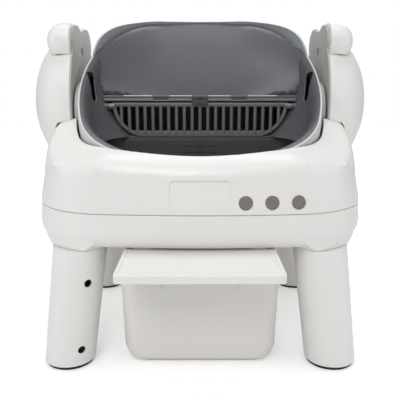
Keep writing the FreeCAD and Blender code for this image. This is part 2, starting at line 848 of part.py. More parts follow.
def slanted_cone(top_x, top_y, foot_x, foot_y, inset, z0, z1):
    # The leg's axis leans, and both its ends are cut level.
    height = leg_top - foot_height
    axis = V(top_x - foot_x, top_y - foot_y, height)
    taper = (leg_top_radius - leg_foot_radius) / axis.Length
    spare = 20.0
    unit = V(axis).normalize()
    start = V(foot_x, foot_y, foot_height) - unit * spare
    r0 = leg_foot_radius - inset - taper * spare
    r1 = leg_top_radius - inset + taper * spare
    cone = Part.makeCone(r0, r1, axis.Length + 2.0 * spare, start, unit)
    return cone.common(box(-far, far, -far, far, z0, z1))


def make_leg(top_x, top_y, foot_x, foot_y, turn):
    leg = slanted_cone(top_x, top_y, foot_x, foot_y, 0.0, foot_height, leg_top)
    leg = leg.cut(slanted_cone(top_x, top_y, foot_x, foot_y, leg_wall, foot_height + leg_wall, leg_top - 6.0))
    for z in leg_hole_heights:
        share = (z - foot_height) / (leg_top - foot_height)
        x = foot_x + (top_x - foot_x) * share
        y = foot_y + (top_y - foot_y) * share
        direction = V(math.cos(math.radians(turn)), math.sin(math.radians(turn)), 0)
        start = V(x, y, z) + direction * 20.0
        leg = leg.cut(Part.makeCylinder(leg_hole_radius, 40.0, start, direction))
    neck = Part.makeCylinder(26.0, housing_bottom - leg_top + 1.0, V(top_x, top_y, leg_top - 1.0))
    bolt = Part.makeCylinder(bolt_radius, 40.0, V(top_x, top_y, leg_top - 15.0))
    return leg.fuse(neck).cut(bolt).removeSplitter()


def make_foot(x, y):
    pad = Part.makeCylinder(foot_radius, foot_height, V(x, y, 0))
    low = [e for e in pad.Edges if e.BoundBox.ZMax < 0.5 and len(e.Vertexes) == 1]
    return pad.makeFillet(1.5, low)


def make_leg_bolt(x, y):
    shank = Part.makeCylinder(bolt_radius, 21.0, V(x, y, leg_top - 10.0))
    head = Part.makeCylinder(7.0, 4.0, V(x, y, leg_top - 12.0))
    nut = Part.makeCylinder(7.0, 4.0, V(x, y, housing_bottom + housing_wall))
    return shank.fuse([head, nut]).removeSplitter()


def collar_form(x, y, inset):
    # A slanted cone round the leg's top that flares to the outer corner, kept inside the housing's outline.
    radius = collar_radius - inset
    push = collar_flare / math.sqrt(2.0)
    top_x = x + math.copysign(push, x)
    top_y = y + math.copysign(push, y)
    low = Part.Wire(Part.makeCircle(radius, V(x, y, collar_bottom)))
    high = Part.Wire(Part.makeCircle(radius + collar_flare, V(top_x, top_y, collar_bottom + collar_rise)))
    cone = Part.makeLoft([low, high], True, True)
    pull = 3.0 + inset
    outline = oval_wire(housing_half_width - pull, housing_half_length - pull, housing_side_arc - pull,
                        housing_front_arc - pull, housing_corner_arc - pull, housing_centre_y, collar_bottom)
    return cone.common(Part.Face(outline).extrude(V(0, 0, collar_rise)))


def make_lower_housing(shell, tub, clear):
    floor_top = housing_bottom + housing_wall
    lower = shell.common(box(-far, far, -far, far, 0, seam_height))
    dish = tub.cut(clear).common(box(-far, far, -far, far, 0, floor_top))
    lower = lower.fuse(dish)
    for name, x, y, foot_x, foot_y in leg_places():
        inside = collar_form(x, y, collar_wall).common(box(-far, far, -far, far, floor_top, far))
        socket = Part.makeCylinder(26.3, housing_bottom - collar_bottom, V(x, y, collar_bottom))
        collar = collar_form(x, y, 0.0).cut([inside, socket, tub])
        lower = lower.fuse(collar).cut(Part.makeCylinder(bolt_radius + 0.2, 30.0, V(x, y, 190.0)))
    lower = lower.cut(chute_prism(0.0, 100.0, 260.0))
    inlet = Part.makeCylinder(socket_bore, 20.0, V(socket_x, housing_rear - 12.0, socket_z), V(0, 1, 0))
    return lower.cut(inlet).removeSplitter()


def make_upper_housing(shell):
    upper = shell.common(box(-far, far, -far, far, seam_height, far))
    ring = housing_form(-2.0).cut(housing_form(seam_groove_depth))
    ring = ring.common(box(-far, far, -far, far, seam_height, seam_height + seam_groove_height))
    upper = upper.cut(ring)
    recess = rounded_prism(-recess_half_width, recess_half_width, -recess_half_height, recess_half_height,
                           0, 30, 7.0)
    recess.rotate(V(0, 0, 0), V(1, 0, 0), 90)
    recess.translate(V(0, housing_front + 20.0, recess_z))
    upper = upper.cut(recess.cut(housing_form(recess_depth)))
    for x in button_xs:
        upper = upper.cut(facing_front(button_shape(button_radius + button_gap, 12.0, 12.0), x, button_z))
    pillars = []
    start = board_pillar_reach ** 2 / (2.0 * housing_front_arc) + housing_wall / 2.0
    for side in (1, -1):
        foot = V(side * board_pillar_reach, start, 0)
        pillar = Part.makeCylinder(4.0, board_set_back - start, foot, V(0, 1, 0))
        pillars.append(facing_front(pillar, button_xs[1], button_z))
    return upper.fuse(pillars).removeSplitter()


def make_button(x):
    cap = button_shape(button_radius, 6.0, button_proud)
    front = [e for e in cap.Edges if e.BoundBox.YMax < -button_proud + 0.01]
    cap = cap.makeFillet(1.2, front)
    stem = Part.makeCylinder(3.0, stem_end - 5.0, V(0, 5.0, 0), V(0, 1, 0))
    return facing_front(cap.fuse(stem).removeSplitter(), x, button_z)


def make_button_board():
    board = box(-board_half_length, board_half_length, board_set_back, board_set_back + board_thickness,
                -13.0, 10.0)
    board = facing_front(board, button_xs[1], button_z)
    switches = []
    for x in button_xs:
        start = stem_end + button_travel + switch_gap
        switch = Part.makeCylinder(3.5, board_set_back + 0.8 - start, V(0, start, 0), V(0, 1, 0))
        switches.append(facing_front(switch, x, button_z))
    return board.fuse(switches).removeSplitter()


def make_step():
    plate = rounded_prism(-step_half_width, step_half_width, step_front, step_back,
                          step_top - step_thickness, step_top, step_corner)
    top_edges = [e for e in plate.Edges if e.BoundBox.ZMin > step_top - 0.01]
    plate = plate.makeFillet(1.5, top_edges)
    border = 6.0
    tread = rounded_prism(-step_half_width + border, step_half_width - border, step_front + border, -185.0,
                          step_top - 0.6, step_top + 5.0, step_corner)
    under = rounded_prism(-step_half_width + 3.0, step_half_width - 3.0, step_front + 3.0, step_back - 3.0,
                          step_top - step_thickness - 5.0, step_top - 3.0, step_corner - 3.0)
    plate = plate.cut(tread).cut(under)
    ribs = []
    for i in range(5):
        x = -80.0 + 40.0 * i
        ribs.append(box(x - 1.0, x + 1.0, step_front + 2.0, step_back - 2.0,
                        step_top - step_thickness, step_top - 2.0))
    return plate.fuse(ribs).removeSplitter()


def make_step_brackets():
    brackets = []
    for side in (1, -1):
        x = side * 90.0
        foot = box(x - 14.0, x + 14.0, -180.0, -96.0, step_top, housing_bottom)
        brackets.append(foot)
    return group(brackets)


def make_bin():
    def tray(inset):
        half = bin_half_width - inset
        front = bin_front + inset
        back = bin_front + bin_length - inset
        sections = []
        floor_curve = ((inset + 0.001, 18.0), (inset + 9.0, 7.0), (bin_corner, 2.0))
        for z, draw in floor_curve + ((bin_height + inset, 0.0),):
            draw_in = draw + bin_draft * (1.0 - z / bin_height) * 0.6
            radius = bin_corner - inset
            sections.append(rounded_rectangle(-half + draw_in, half - draw_in, front + draw_in,
                                              back - draw_in, z, radius))
        return Part.makeLoft(sections, True, True)
    walls = tray(0.0).cut(tray(bin_wall)).cut(box(-far, far, -far, far, bin_height, far))
    rim = rounded_prism(-bin_half_width - 3.0, bin_half_width + 3.0, bin_front - 3.0, bin_front + bin_length + 3.0,
                        bin_height - 6.0, bin_height, bin_corner)
    opening = rounded_prism(-bin_half_width + bin_wall, bin_half_width - bin_wall, bin_front + bin_wall,
                            bin_front + bin_length - bin_wall, bin_height - 20.0, bin_height + 5.0,
                            bin_corner - bin_wall)
    walls = walls.fuse(rim.cut(opening))
    ribs = []
    for x in (-bin_rib_x, bin_rib_x):
        ribs.append(box(x - 1.0, x + 1.0, bin_front - 2.6, bin_front + 1.5, bin_height - 6.0 - bin_rib_length,
                        bin_height - 5.0))
    return walls.fuse(ribs).removeSplitter()


def make_chute_collar():
    ring = chute_prism(chute_wall, chute_bottom, 215.0).cut(chute_prism(0.0, 100.0, 260.0))
    ring = ring.cut(barrel(drum_clearance + housing_wall + seat_gap))
    ring = ring.cut(box(-far, far, -far, far, housing_bottom, far))
    return ring


def make_main_board():
    return box(-70.0, 50.0, -184.0, -136.0, housing_bottom + housing_wall + 6.0, housing_bottom + housing_wall + 7.6)


def make_board_posts():
    posts = []
    for x in (-64.0, 44.0):
        for y in (-178.0, -142.0):
            posts.append(Part.makeCylinder(2.5, 6.0, V(x, y, housing_bottom + housing_wall)))
    return group(posts)


def make_power_socket():
    body = box(socket_x - socket_half_side, socket_x + socket_half_side,
               housing_rear - socket_depth - 5.0, housing_rear,
               socket_z - socket_half_side, socket_z + socket_half_side)
    body = body.common(housing_form(housing_wall + seat_gap))
    bottom = V(socket_x, housing_rear - socket_depth, socket_z)
    bore = Part.makeCylinder(socket_bore, socket_depth, bottom, V(0, 1, 0))
    pin = Part.makeCylinder(1.0, 9.0, V(socket_x, housing_rear - socket_depth - 1.0, socket_z), V(0, 1, 0))
    return body.cut(bore).fuse(pin).removeSplitter()


def main():
    seat, shell, tub, clear = make_housing()
    save("lower_housing", make_lower_housing(shell, tub, clear))
    save("upper_housing", make_upper_housing(shell))
    save("chute_collar", make_chute_collar())
    save("step_plate", make_step())
    save("step_brackets", make_step_brackets())
    save("waste_bin", make_bin())
    turns = {"front_left": -55.0, "front_right": 35.0, "rear_right": 125.0, "rear_left": 215.0}
    bolts = []
    for name, x, y, foot_x, foot_y in leg_places():
        save("leg_" + name, make_leg(x, y, foot_x, foot_y, turns[name]))
        save("foot_pad_" + name, make_foot(foot_x, foot_y))
        bolts.append(make_leg_bolt(x, y))
    save("leg_bolts", group(bolts))
    cover = make_arm_cover(seat)
    save("arm_cover_right", cover)
    save("arm_cover_left", mirrored(cover))
    ears = make_ears()
    save("ear_caps_right", ears)
    save("ear_caps_left", mirrored(ears))
    plate = make_plate()
    save("pivot_plate_right", plate)
    save("pivot_plate_left", mirrored(plate))
    window = make_window()
    save("sensor_window_right", window)
    save("sensor_window_left", mirrored(window))
    bush = make_bush()
    save("pivot_bush_right", bush)
    save("pivot_bush_left", mirrored(bush))
    hub = make_hub()
    save("drum_hub_right", hub)
    save("drum_hub_left", mirrored(hub))
    clip = make_clip()
    save("shaft_clips", group([clip, mirrored(clip)]))
    save("drum_gear", make_gear())
    save("motor_pinion", make_pinion())
    save("gearmotor", make_gearmotor())
    save("motor_bracket", make_motor_bracket())
    save("drum_shell", make_drum_shell())
    save("hood_cover", make_hood_cover())
    save("hood_panel", make_hood_panel())
    save("inner_bowl", make_bowl())
    save("basin_liner", make_liner())
    save("hinge_bar", make_hinge_bar())
    save("sieve_grille", make_sieve())
    save("sieve_latch", make_latch())
    for name, x in zip(("left", "middle", "right"), button_xs):
        save("button_" + name, make_button(x))
    save("button_board", make_button_board())
    save("main_board", make_main_board())
    save("power_socket", make_power_socket())
    save("board_posts", make_board_posts())


main()
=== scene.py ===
import json
import math
import bmesh
import bpy
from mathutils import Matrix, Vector
from mathutils.bvhtree import BVHTree
from mathutils.kdtree import KDTree

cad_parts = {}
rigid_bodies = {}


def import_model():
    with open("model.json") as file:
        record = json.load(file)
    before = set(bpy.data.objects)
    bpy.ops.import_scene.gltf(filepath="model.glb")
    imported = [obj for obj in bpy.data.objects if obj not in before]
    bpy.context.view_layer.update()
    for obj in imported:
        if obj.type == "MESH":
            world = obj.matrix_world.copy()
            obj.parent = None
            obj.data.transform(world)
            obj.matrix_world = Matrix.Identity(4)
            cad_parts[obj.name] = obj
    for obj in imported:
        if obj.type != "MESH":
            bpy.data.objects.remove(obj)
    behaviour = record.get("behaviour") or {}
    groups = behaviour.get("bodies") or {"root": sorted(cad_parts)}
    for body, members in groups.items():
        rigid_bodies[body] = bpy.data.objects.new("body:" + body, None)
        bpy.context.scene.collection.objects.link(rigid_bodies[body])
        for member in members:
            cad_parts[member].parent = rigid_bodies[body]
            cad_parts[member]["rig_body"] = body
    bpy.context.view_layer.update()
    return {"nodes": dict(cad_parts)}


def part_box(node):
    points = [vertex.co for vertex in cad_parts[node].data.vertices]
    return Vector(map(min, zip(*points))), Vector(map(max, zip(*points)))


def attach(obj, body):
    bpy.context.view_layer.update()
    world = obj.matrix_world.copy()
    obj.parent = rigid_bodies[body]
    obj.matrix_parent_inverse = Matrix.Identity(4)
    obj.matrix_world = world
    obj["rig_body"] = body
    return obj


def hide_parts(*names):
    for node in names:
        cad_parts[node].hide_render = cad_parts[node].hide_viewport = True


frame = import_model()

print("stage: frame loaded,", len(frame["nodes"]), "nodes")


# materials

def newMaterial(name):
    material = bpy.data.materials.new(name)
    material.use_nodes = True
    tree = material.node_tree
    shader = tree.nodes["Principled BSDF"]
    return material, tree, shader


def objectPlace(tree, stretch=(1.0, 1.0, 1.0)):
    place = tree.nodes.new("ShaderNodeTexCoord")
    mapping = tree.nodes.new("ShaderNodeMapping")
    mapping.inputs["Scale"].default_value = stretch
    tree.links.new(place.outputs["Object"], mapping.inputs["Vector"])
    return mapping.outputs["Vector"]


def objectNoise(tree, scale, detail, roughness=0.5, stretch=(1.0, 1.0, 1.0)):
    noise = tree.nodes.new("ShaderNodeTexNoise")
    noise.inputs["Scale"].default_value = scale
    noise.inputs["Detail"].default_value = detail
    noise.inputs["Roughness"].default_value = roughness
    tree.links.new(objectPlace(tree, stretch), noise.inputs["Vector"])
    return noise.outputs["Fac"]


def rampBetween(tree, source, low, high, start=0.3, end=0.7):
    ramp = tree.nodes.new("ShaderNodeValToRGB")
    ramp.color_ramp.elements[0].position = start
    ramp.color_ramp.elements[0].color = (*low, 1)
    ramp.color_ramp.elements[1].position = end
    ramp.color_ramp.elements[1].color = (*high, 1)
    tree.links.new(source, ramp.inputs["Fac"])
    return ramp.outputs["Color"]


def spread(tree, source, low, high):
    span = tree.nodes.new("ShaderNodeMapRange")
    span.inputs["To Min"].default_value = low
    span.inputs["To Max"].default_value = high
    tree.links.new(source, span.inputs["Value"])
    return span.outputs["Result"]


def roundedEdge(tree, radius):
    edge = tree.nodes.new("ShaderNodeBevel")
    edge.samples = 6
    edge.inputs["Radius"].default_value = radius
    return edge.outputs["Normal"]


def bumpOver(tree, height, strength, distance, normal=None):
    bump = tree.nodes.new("ShaderNodeBump")
    bump.inputs["Strength"].default_value = strength
    bump.inputs["Distance"].default_value = distance
    tree.links.new(height, bump.inputs["Height"])
    if normal:
        tree.links.new(normal, bump.inputs["Normal"])
    return bump.outputs["Normal"]


# painted edge highlight: where it starts and is full, and its pale colour
edgeGlint = {"starts": 0.985, "full": 0.86, "pale": (0.9, 0.9, 0.9, 1)}


def paintEdgeHighlight(tree, colour, radius, lift):
    # painted highlight: where the rounded normal leaves the flat one, the edge is painted a little lighter
    flat = tree.nodes.new("ShaderNodeNewGeometry")
    dot = tree.nodes.new("ShaderNodeVectorMath")
    dot.operation = "DOT_PRODUCT"
    tree.links.new(flat.outputs["Normal"], dot.inputs[0])
    tree.links.new(roundedEdge(tree, radius), dot.inputs[1])
    mask = tree.nodes.new("ShaderNodeMapRange")
    mask.inputs["From Min"].default_value = edgeGlint["starts"]
    mask.inputs["From Max"].default_value = edgeGlint["full"]
    mask.inputs["To Max"].default_value = lift
    tree.links.new(dot.outputs["Value"], mask.inputs["Value"])
    mix = tree.nodes.new("ShaderNodeMix")
    mix.data_type = "RGBA"
    tree.links.new(mask.outputs["Result"], mix.inputs["Factor"])
    tree.links.new(colour, mix.inputs["A"])
    mix.inputs["B"].default_value = edgeGlint["pale"]
    return mix.outputs["Result"]


# near-black mixed into the panel's colour as painted shade towards its foot
paintedShadeColour = (0.012, 0.012, 0.014, 1)


def paintShadeBelow(tree, colour, span):
    # painted shade: the panel is painted darker downwards, by span's third value at its first height, not at
    # all at its second
    place = tree.nodes.new("ShaderNodeTexCoord")
    split = tree.nodes.new("ShaderNodeSeparateXYZ")
    fade = tree.nodes.new("ShaderNodeMapRange")
    fade.inputs["From Min"].default_value = span[0]
    fade.inputs["From Max"].default_value = span[1]
    fade.inputs["To Min"].default_value = span[2]
    fade.inputs["To Max"].default_value = 0.0
    mix = tree.nodes.new("ShaderNodeMix")
    mix.data_type = "RGBA"
    tree.links.new(place.outputs["Object"], split.inputs["Vector"])
    tree.links.new(split.outputs["Z"], fade.inputs["Value"])
    tree.links.new(fade.outputs["Result"], mix.inputs["Factor"])
    tree.links.new(colour, mix.inputs["A"])
    mix.inputs["B"].default_value = paintedShadeColour
    return mix.outputs["Result"]


# what every moulding shares: how its colour drifts, handling marks, the tool's grain, and slow waves
moulding = {"drift": 0.012, "driftScale": 3.5, "roughSpread": 0.04, "markScale": 14.0, "grain": 0.04,
            "grainScale": 900.0, "grainDepth": 0.0004, "waveScale": 18.0, "wave": 0.02, "waveDepth": 0.002,
            "coatRoughness": 0.15, "ior": 1.49, "glowReach": (0.006, 0.005, 0.004)}


def mouldedPlastic(name, finish):
    # colour drifts slowly, roughness follows handling marks, and the bump is the tool's fine grain
    look = {**moulding, **finish}
    material, tree, shader = newMaterial(name)
    drift = look["drift"]
    low = tuple(c * (1 - drift) for c in look["colour"])
    high = tuple(min(1, c * (1 + drift)) for c in look["colour"])
    colour = rampBetween(tree, objectNoise(tree, look["driftScale"], 3.0), low, high)
    # painted shade: where a finish gives a span, its colour is painted darker towards the bottom
    if look.get("paintedShadeSpan"):
        colour = paintShadeBelow(tree, colour, look["paintedShadeSpan"])
    # painted highlight along rounded edges, where a finish gives a lift
    if look.get("rub"):
        colour = paintEdgeHighlight(tree, colour, look["edge"], look["rub"])
    tree.links.new(colour, shader.inputs["Base Color"])
    swing = look["roughSpread"]
    rough = spread(tree, objectNoise(tree, look["markScale"], 4.0, 0.6),
                   look["roughness"] - swing, look["roughness"] + swing)
    tree.links.new(rough, shader.inputs["Roughness"])
    normal = roundedEdge(tree, look["edge"]) if look.get("edge") else None
    grain = objectNoise(tree, look["grainScale"], 2.0)
    normal = bumpOver(tree, grain, look["grain"], look["grainDepth"], normal)
    wave = objectNoise(tree, look["waveScale"], 1.0)
    normal = bumpOver(tree, wave, look["wave"], look["waveDepth"], normal)
    tree.links.new(normal, shader.inputs["Normal"])
    shader.inputs["IOR"].default_value = look["ior"]
    if look.get("coat"):
        shader.inputs["Coat Weight"].default_value = look["coat"]
        shader.inputs["Coat Roughness"].default_value = look["coatRoughness"]
    if look.get("glow"):
        shader.inputs["Subsurface Weight"].default_value = look["glow"]
        shader.inputs["Subsurface Radius"].default_value = look["glowReach"]
    return material


sparking = {"scale": 620.0, "depth": 0.0005}


def sparkedPlastic(name, look):
    # the coarser spark-eroded texture of the dark inner mouldings, over the same handling marks
    material = mouldedPlastic(name, look)
    tree = material.node_tree
    shader = tree.nodes["Principled BSDF"]
    cells = tree.nodes.new("ShaderNodeTexVoronoi")
    cells.inputs["Scale"].default_value = sparking["scale"]
    tree.links.new(objectPlace(tree), cells.inputs["Vector"])
    under = shader.inputs["Normal"].links[0].from_socket
    tree.links.new(bumpOver(tree, cells.outputs["Distance"], look["spark"], sparking["depth"], under),
                   shader.inputs["Normal"])
    return material


def drawnSteel(name, look):
    # bright metal with fine drawing lines that run along one axis
    material, tree, shader = newMaterial(name)
    lines = objectNoise(tree, 60.0, 6.0, 0.7, look["stretch"])
    low = tuple(c * 0.88 for c in look["colour"])
    tree.links.new(rampBetween(tree, lines, low, look["colour"]), shader.inputs["Base Color"])
    tree.links.new(spread(tree, lines, look["roughness"] - 0.08, look["roughness"] + 0.08),
                   shader.inputs["Roughness"])
    tree.links.new(bumpOver(tree, lines, 0.06, 0.0004, roundedEdge(tree, 0.0004)), shader.inputs["Normal"])
    shader.inputs["Metallic"].default_value = 1.0
    return material


def padRubber(name, look):
    # dusty rubber: dull, pitted, and paler where it has rubbed
    material, tree, shader = newMaterial(name)
    dust = objectNoise(tree, 30.0, 6.0, 0.65)
    tree.links.new(rampBetween(tree, dust, look["colour"], look["dusty"], 0.45, 0.8),
                   shader.inputs["Base Color"])
    tree.links.new(spread(tree, dust, 0.72, 0.95), shader.inputs["Roughness"])
    pits = objectNoise(tree, 420.0, 3.0, 0.6)
    tree.links.new(bumpOver(tree, pits, 0.3, 0.0005, roundedEdge(tree, 0.0008)), shader.inputs["Normal"])
    return material


def circuitBoard(name, look):
    # solder mask with copper runs that show through as a slightly lighter green
    material, tree, shader = newMaterial(name)
    runs = tree.nodes.new("ShaderNodeTexBrick")
    runs.inputs["Scale"].default_value = 1.0
    runs.inputs["Brick Width"].default_value = 0.012
    runs.inputs["Row Height"].default_value = 0.0022
    runs.inputs["Mortar Size"].default_value = 0.0005
    runs.inputs["Mortar Smooth"].default_value = 0.2
    runs.inputs["Color1"].default_value = (*look["colour"], 1)
    runs.inputs["Color2"].default_value = (*(c * 0.85 for c in look["colour"]), 1)
    runs.inputs["Mortar"].default_value = (*look["runs"], 1)
    tree.links.new(objectPlace(tree), runs.inputs["Vector"])
    tree.links.new(runs.outputs["Color"], shader.inputs["Base Color"])
    tree.links.new(spread(tree, objectNoise(tree, 40.0, 3.0), 0.28, 0.4), shader.inputs["Roughness"])
    tree.links.new(bumpOver(tree, runs.outputs["Fac"], 0.15, 0.0002), shader.inputs["Normal"])
    return material


def windowLens(name, look):
    # smoked lens of the presence sensor: a dark body under a clear gloss, a few dust specks on it
    material, tree, shader = newMaterial(name)
    specks = objectNoise(tree, 900.0, 2.0, 0.7)
    tree.links.new(rampBetween(tree, specks, look["colour"], (0.05, 0.05, 0.052), 0.66, 0.78),
                   shader.inputs["Base Color"])
    tree.links.new(spread(tree, specks, 0.08, 0.22), shader.inputs["Roughness"])
    tree.links.new(bumpOver(tree, objectNoise(tree, 60.0, 2.0), 0.03, 0.0006, roundedEdge(tree, 0.0006)),
                   shader.inputs["Normal"])
    shader.inputs["Coat Weight"].default_value = 0.6
    shader.inputs["Coat Roughness"].default_value = 0.05
    return material


glossWhite = (0.800, 0.785, 0.768)
finishes = {
    "housingWhite": {"colour": glossWhite, "roughness": 0.36, "grain": 0.02, "coat": 0.12, "edge": 0.0022},
    "armWhite": {"colour": glossWhite, "roughness": 0.36, "grain": 0.02, "coat": 0.12, "edge": 0.0015},
    "legWhite": {"colour": (0.79, 0.777, 0.760), "roughness": 0.40, "grain": 0.03, "edge": 0.0015},
    "stepWhite": {"colour": (0.79, 0.777, 0.760), "roughness": 0.5, "grain": 0.10, "grainScale": 500.0,
                  "edge": 0.0012},
    "binWhite": {"colour": (0.79, 0.770, 0.748), "roughness": 0.42, "grain": 0.06, "edge": 0.0015,
                 "glow": 0.08},
    "collarWhite": {"colour": (0.76, 0.76, 0.755), "roughness": 0.46, "grain": 0.05, "edge": 0.0008},
    "earWhite": {"colour": glossWhite, "roughness": 0.34, "grain": 0.02, "coat": 0.15, "edge": 0.0015},
    "shellWhite": {"colour": (0.60, 0.60, 0.605), "roughness": 0.38, "grain": 0.03, "edge": 0.0012},
    # light grey of the hinge bar's bead, a painted highlight
    "highlightGrey": {"colour": (0.52, 0.52, 0.535), "roughness": 0.25, "grain": 0.02, "coat": 0.8},
    "hubGrey": {"colour": (0.50, 0.50, 0.50), "roughness": 0.4, "grain": 0.05, "edge": 0.001},
    "armTaupe": {"colour": (0.42, 0.41, 0.385), "roughness": 0.5, "grain": 0.1, "edge": 0.0012,
                 "drift": 0.03},
    "buttonTaupe": {"colour": (0.185, 0.172, 0.152), "roughness": 0.38, "grain": 0.06, "edge": 0.0014,
                    "drift": 0.02},
    "switchBlack": {"colour": (0.02, 0.02, 0.02), "roughness": 0.45, "grain": 0.1, "edge": 0.0005},
    "gearWhite": {"colour": (0.70, 0.68, 0.62), "roughness": 0.5, "grain": 0.05, "edge": 0.0006,
                  "glow": 0.1},
}
darkFinishes = {
    "hoodSlate": {"colour": (0.54, 0.56, 0.60), "roughness": 0.40, "spark": 0.05, "edge": 0.0012,
                  "drift": 0.02},
    # the panel's span paints shade into its colour towards its foot
    "panelCharcoal": {"colour": (0.125, 0.131, 0.148), "paintedShadeSpan": (0.430, 0.585, 0.52), "roughness": 0.36,
                      "spark": 0.05, "edge": 0.001, "drift": 0.03, "coat": 0.1, "coatRoughness": 0.4},
    # the lift on these dark finishes paints a highlight along their rounded edges
    "bowlCharcoal": {"colour": (0.100, 0.100, 0.110), "roughness": 0.34, "spark": 0.10, "edge": 0.0014,
                     "drift": 0.03, "rub": 0.05},
    "linerBlack": {"colour": (0.075, 0.075, 0.080), "roughness": 0.33, "spark": 0.12, "edge": 0.0012,
                   "drift": 0.05, "rub": 0.03, "coat": 0.3, "coatRoughness": 0.3},
    "grilleCharcoal": {"colour": (0.165, 0.167, 0.176), "roughness": 0.30, "spark": 0.06, "edge": 0.0012,
                       "drift": 0.03, "rub": 0.10, "coat": 0.5, "coatRoughness": 0.2},
    "barCharcoal": {"colour": (0.15, 0.152, 0.16), "roughness": 0.26, "spark": 0.03, "edge": 0.0026,
                    "drift": 0.03, "coat": 0.9, "coatRoughness": 0.14, "rub": 0.10},
    "latchGrey": {"colour": (0.055, 0.055, 0.06), "roughness": 0.34, "spark": 0.04, "edge": 0.0008,
                  "rub": 0.06},
    "markBlack": {"colour": (0.008, 0.008, 0.008), "roughness": 0.5, "spark": 0.03, "edge": 0.0001},
}
steels = {
    "plainSteel": {"colour": (0.56, 0.56, 0.55), "roughness": 0.32, "stretch": (1.0, 12.0, 12.0)},
    "postBrass": {"colour": (0.62, 0.44, 0.17), "roughness": 0.3, "stretch": (12.0, 12.0, 1.0)},
}
paint = {name: mouldedPlastic(name, look) for name, look in finishes.items()}
paint.update({name: sparkedPlastic(name, look) for name, look in darkFinishes.items()})
paint.update({name: drawnSteel(name, look) for name, look in steels.items()})
paint["footRubber"] = padRubber("footRubber", {"colour": (0.012, 0.012, 0.012),
                                               "dusty": (0.035, 0.034, 0.032)})
paint["boardGreen"] = circuitBoard("boardGreen", {"colour": (0.012, 0.085, 0.035),
                                                  "runs": (0.03, 0.16, 0.06)})
paint["sensorBlack"] = windowLens("sensorBlack", {"colour": (0.008, 0.008, 0.009)})
print("stage: materials,", len(paint))


# forms: what the moulded parts have softer than their solids

def smoothStep(value):
    value = max(0.0, min(1.0, value))
    return value * value * (3 - 2 * value)


def relax(weights, rounds):
    # each vertex drifts towards the middle of its neighbours, as far as its weight lets it
    for step in range(rounds):
        moved = {}
        for vert, weight in weights.items():
            if weight > 0:
                around = [edge.other_vert(vert).co for edge in vert.link_edges]
                moved[vert] = vert.co.lerp(sum(around, Vector()) / len(around), weight)
        for vert, place in moved.items():
            vert.co = place


def divideLong(work, cell, passes, wanted=None):
    # edges longer than a cell are halved, pass after pass, where the test lets them
    for step in range(passes):
        long = [edge for edge in work.edges
                if edge.calc_length() > cell * 1.4 and (wanted is None or wanted(edge))]
        if not long:
            break
        bmesh.ops.subdivide_edges(work, edges=long, cuts=1)
        bmesh.ops.triangulate(work, faces=[face for face in work.faces if len(face.verts) > 3])


def nearTree(points):
    tree = KDTree(len(points))
    for i, point in enumerate(points):
        tree.insert(point, i)
    tree.balance()
    return tree


# turns in degrees: an edge between least and steepest is the crease, one past rimFrom is the opening's rim
housingCrease = {"least": 6.0, "steepest": 80.0, "rimFrom": 55.0, "low": 0.296, "high": 0.420, "back": 0.30,
                 "side": 0.236, "front": -0.150, "sample": 0.003, "reach": 0.026, "brim": 0.014,
                 "cell": 0.0045, "passes": 7, "pull": 0.5, "plateau": 1.25, "rounds": 26}


def onCrease(point):
    # between the lip and the wall: outside the drum's opening, and above the panel and the buttons
    look = housingCrease
    return point.y < look["back"] and (abs(point.x) > look["side"] or point.y < look["front"])


def softenCrease(work):
    # the lip flows into the front face: the crease is divided finely and relaxed over a finger's width
    look = housingCrease
    creases, rim = [], []
    for edge in work.edges:
        middle = (edge.verts[0].co + edge.verts[1].co) / 2
        if len(edge.link_faces) != 2 or not look["low"] < middle.z < look["high"]:
            continue
        turned = math.degrees(edge.calc_face_angle(0.0))
        count = max(1, int(edge.calc_length() / look["sample"]))
        a, b = edge.verts[0].co.copy(), edge.verts[1].co.copy()
        along = [a.lerp(b, i / count) for i in range(count + 1)]
        if look["least"] < turned < look["steepest"] and onCrease(middle):
            creases += along
        elif turned >= look["rimFrom"]:
            rim += along
    line = nearTree(creases)
    brim = nearTree(rim)

    def near(point):
        return line.find(point)[2]

    def besideCrease(edge):
        a, b = edge.verts[0].co, edge.verts[1].co
        return min(near(a), near(b), near((a + b) / 2)) < look["reach"]

    divideLong(work, look["cell"], look["passes"], besideCrease)
    weights = {}
    for vert in work.verts:
        away = near(vert.co)
        if away < look["reach"]:
            clear = smoothStep(brim.find(vert.co)[2] / look["brim"])
            weights[vert] = look["pull"] * clear * smoothStep(look["plateau"] * (1 - away / look["reach"]))
    relax(weights, look["rounds"])
    print("stage: crease,", len(creases), "points,", len(weights), "relaxed")


hoodCorner = {"x": 0.176, "inner": 0.095, "outer": 0.050, "drop": 0.0082, "turnLow": -35.0,
              "turnHigh": 95.0, "fadeLow": 50.0, "fadeHigh": 40.0, "hub": 0.05}


def drumAxis():
    low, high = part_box("drum_hub_right")
    return (low[1] + high[1]) / 2, (low[2] + high[2]) / 2


def easeHood(work):
    # the drum's upper corners fall away sooner than its lower ones
    look = hoodCorner
    y0, z0 = drumAxis()
    for vert in work.verts:
        y, z = vert.co.y - y0, vert.co.z - z0
        away = math.hypot(y, z)
        turn = math.degrees(math.atan2(z, y))
        past = abs(vert.co.x) - look["x"]
        side = smoothStep(1 - past / look["outer"]) if past > 0 else smoothStep(1 + past / look["inner"])
        upper = smoothStep((turn - look["turnLow"]) / look["fadeLow"])
        upper *= smoothStep((look["turnHigh"] - turn) / look["fadeHigh"])
        if away > look["hub"]:
            scale = 1 - look["drop"] * side * upper / away
            vert.co.y, vert.co.z = y0 + y * scale, z0 + z * scale


panelArch = {"middle": 1.2, "corner": 6.5, "x": 0.185, "inner": 0.12, "foot": 0.09, "top": 0.19}


